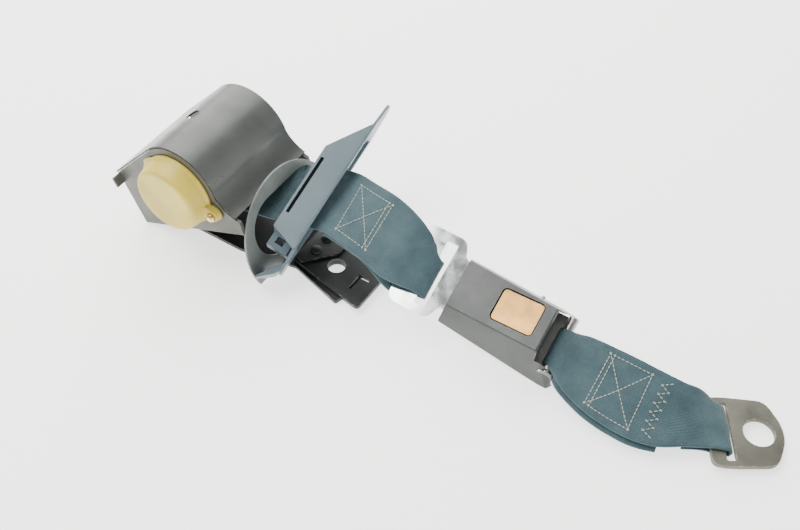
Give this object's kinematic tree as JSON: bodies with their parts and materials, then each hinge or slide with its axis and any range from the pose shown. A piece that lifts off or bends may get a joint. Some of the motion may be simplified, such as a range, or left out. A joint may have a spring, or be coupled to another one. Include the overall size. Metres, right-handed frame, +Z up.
{
  "type": "retractable vehicle lap belt",
  "caption": "Lap belt laid out buckled: sheet-metal retractor with exit ring and bracket, belt guide, webbing, slotted tongue, push-button buckle, sewn strap and anchor plate.",
  "frame": {"origin": "under the middle of the laid-out belt, on the surface it lies on", "axes": "+X along the belt from the retractor to the anchor plate, +Y along the spool axis away from the spring cap, +Z up"},
  "size_m": [0.4676, 0.147, 0.0901],
  "materials": {
    "cover_grey": "dark grey paint, satin",
    "frame_grey": "grey plated steel",
    "ring_grey": "light grey, satin",
    "bracket_black": "black paint, satin",
    "aged_nylon": "nylon, yellowed with age",
    "brass": "bright",
    "plain_steel": "plain, machined",
    "chrome": "bright",
    "phosphated_steel": "dull, lightly rusted",
    "guide_blue": "moulded, satin",
    "webbing_blue": "woven polyester webbing",
    "buckle_grey": "moulded, worn satin",
    "copper_foil": "thin worn metal facing"
  },
  "bodies": {
    "retractor": {"frame": "frame_grey", "cover": "cover_grey", "exit_ring": "ring_grey", "mounting_bracket": "bracket_black", "bracket_plate": "bracket_black", "bracket_stiffener": "bracket_black", "plate_rivet_1": "plain_steel", "plate_rivet_2": "plain_steel", "frame_rivet_1": "plain_steel", "frame_rivet_2": "plain_steel", "spring_cap": "aged_nylon", "cap_screw": "brass", "rewind_spring": "plain_steel", "far_bush": "aged_nylon"},
    "spool": {"spool_shaft": "plain_steel", "spool_core": "plain_steel", "webbing_roll": "webbing_blue", "ratchet_wheel_near": "plain_steel", "ratchet_wheel_far": "plain_steel", "spring_arbor": "aged_nylon", "retaining_clip": "plain_steel"},
    "lock": {"lock_bar": "plain_steel"},
    "lap_belt": {"lap_webbing": "webbing_blue"},
    "guide": {"belt_guide": "guide_blue"},
    "tongue": {"tongue": "chrome"},
    "buckle": {"buckle_housing": "buckle_grey", "buckle_base": "plain_steel", "strap_bar": "plain_steel", "latch_pin": "plain_steel"},
    "button": {"press_button": "buckle_grey", "button_foil": "copper_foil"},
    "latch": {"latch_plate": "plain_steel"},
    "strap": {"buckle_webbing": "webbing_blue"},
    "anchor": {"anchor_plate": "phosphated_steel"}
  },
  "joints": [
    {"name": "belt_pull", "type": "slide", "parent": "retractor", "child": "lap_belt", "axis": [0.9773, 0.1811, 0.1097], "range_m": [0, 0.0219], "stiffness_N_per_m": 20, "springref_m": -0.15},
    {"name": "spool_turn", "type": "hinge", "parent": "retractor", "child": "spool", "pos_m": [-0.173, -0.01971, 0.05714], "axis": [0, -1, 0], "range_deg": [0, 60]},
    {"name": "lock_swing", "type": "hinge", "parent": "retractor", "child": "lock", "pos_m": [-0.19487, -0.01971, 0.0288], "axis": [0, 1, 0], "range_deg": [0, 7], "stiffness_Nm_per_rad": 0.05, "springref_deg": -20.05},
    {"name": "guide_slide", "type": "slide", "parent": "retractor", "child": "guide", "axis": [0.9773, 0.1811, 0.1097], "range_m": [0, 0.01]},
    {"name": "tongue_swing", "type": "hinge", "parent": "lap_belt", "child": "tongue", "pos_m": [-0.01611, -0.00876, 0.03095], "axis": [-0.0013, 0.9, 0.436], "range_deg": [-9, 9]},
    {"name": "buckle_release", "type": "slide", "parent": "tongue", "child": "buckle", "axis": [0.9932, 0.052, -0.1045], "range_m": [0, 0.03]},
    {"name": "button_press", "type": "slide", "parent": "buckle", "child": "button", "axis": [0.086, 0.4345, -0.8966], "range_m": [0, 0.003], "stiffness_N_per_m": 400, "springref_m": -0.004},
    {"name": "latch_swing", "type": "hinge", "parent": "buckle", "child": "latch", "pos_m": [0.06416, -0.00389, 0.02115], "axis": [0.0013, -0.9, -0.436], "range_deg": [0, 2.5]},
    {"name": "strap_swing", "type": "hinge", "parent": "buckle", "child": "strap", "pos_m": [0.08833, -0.00385, 0.02114], "axis": [-0.0013, 0.9, 0.436], "range_deg": [-10, 15]},
    {"name": "anchor_swing", "type": "hinge", "parent": "strap", "child": "anchor", "pos_m": [0.19271, -0.00426, 0.00462], "axis": [-0.5299, 0.848, 0], "range_deg": [-12, 12]}
  ],
  "couplings": [
    {"joint": "spool_turn", "follows": "belt_pull", "rad_per_m": 47.73},
    {"joint": "latch_swing", "follows": "button_press", "rad_per_m": 13.9}
  ]
}
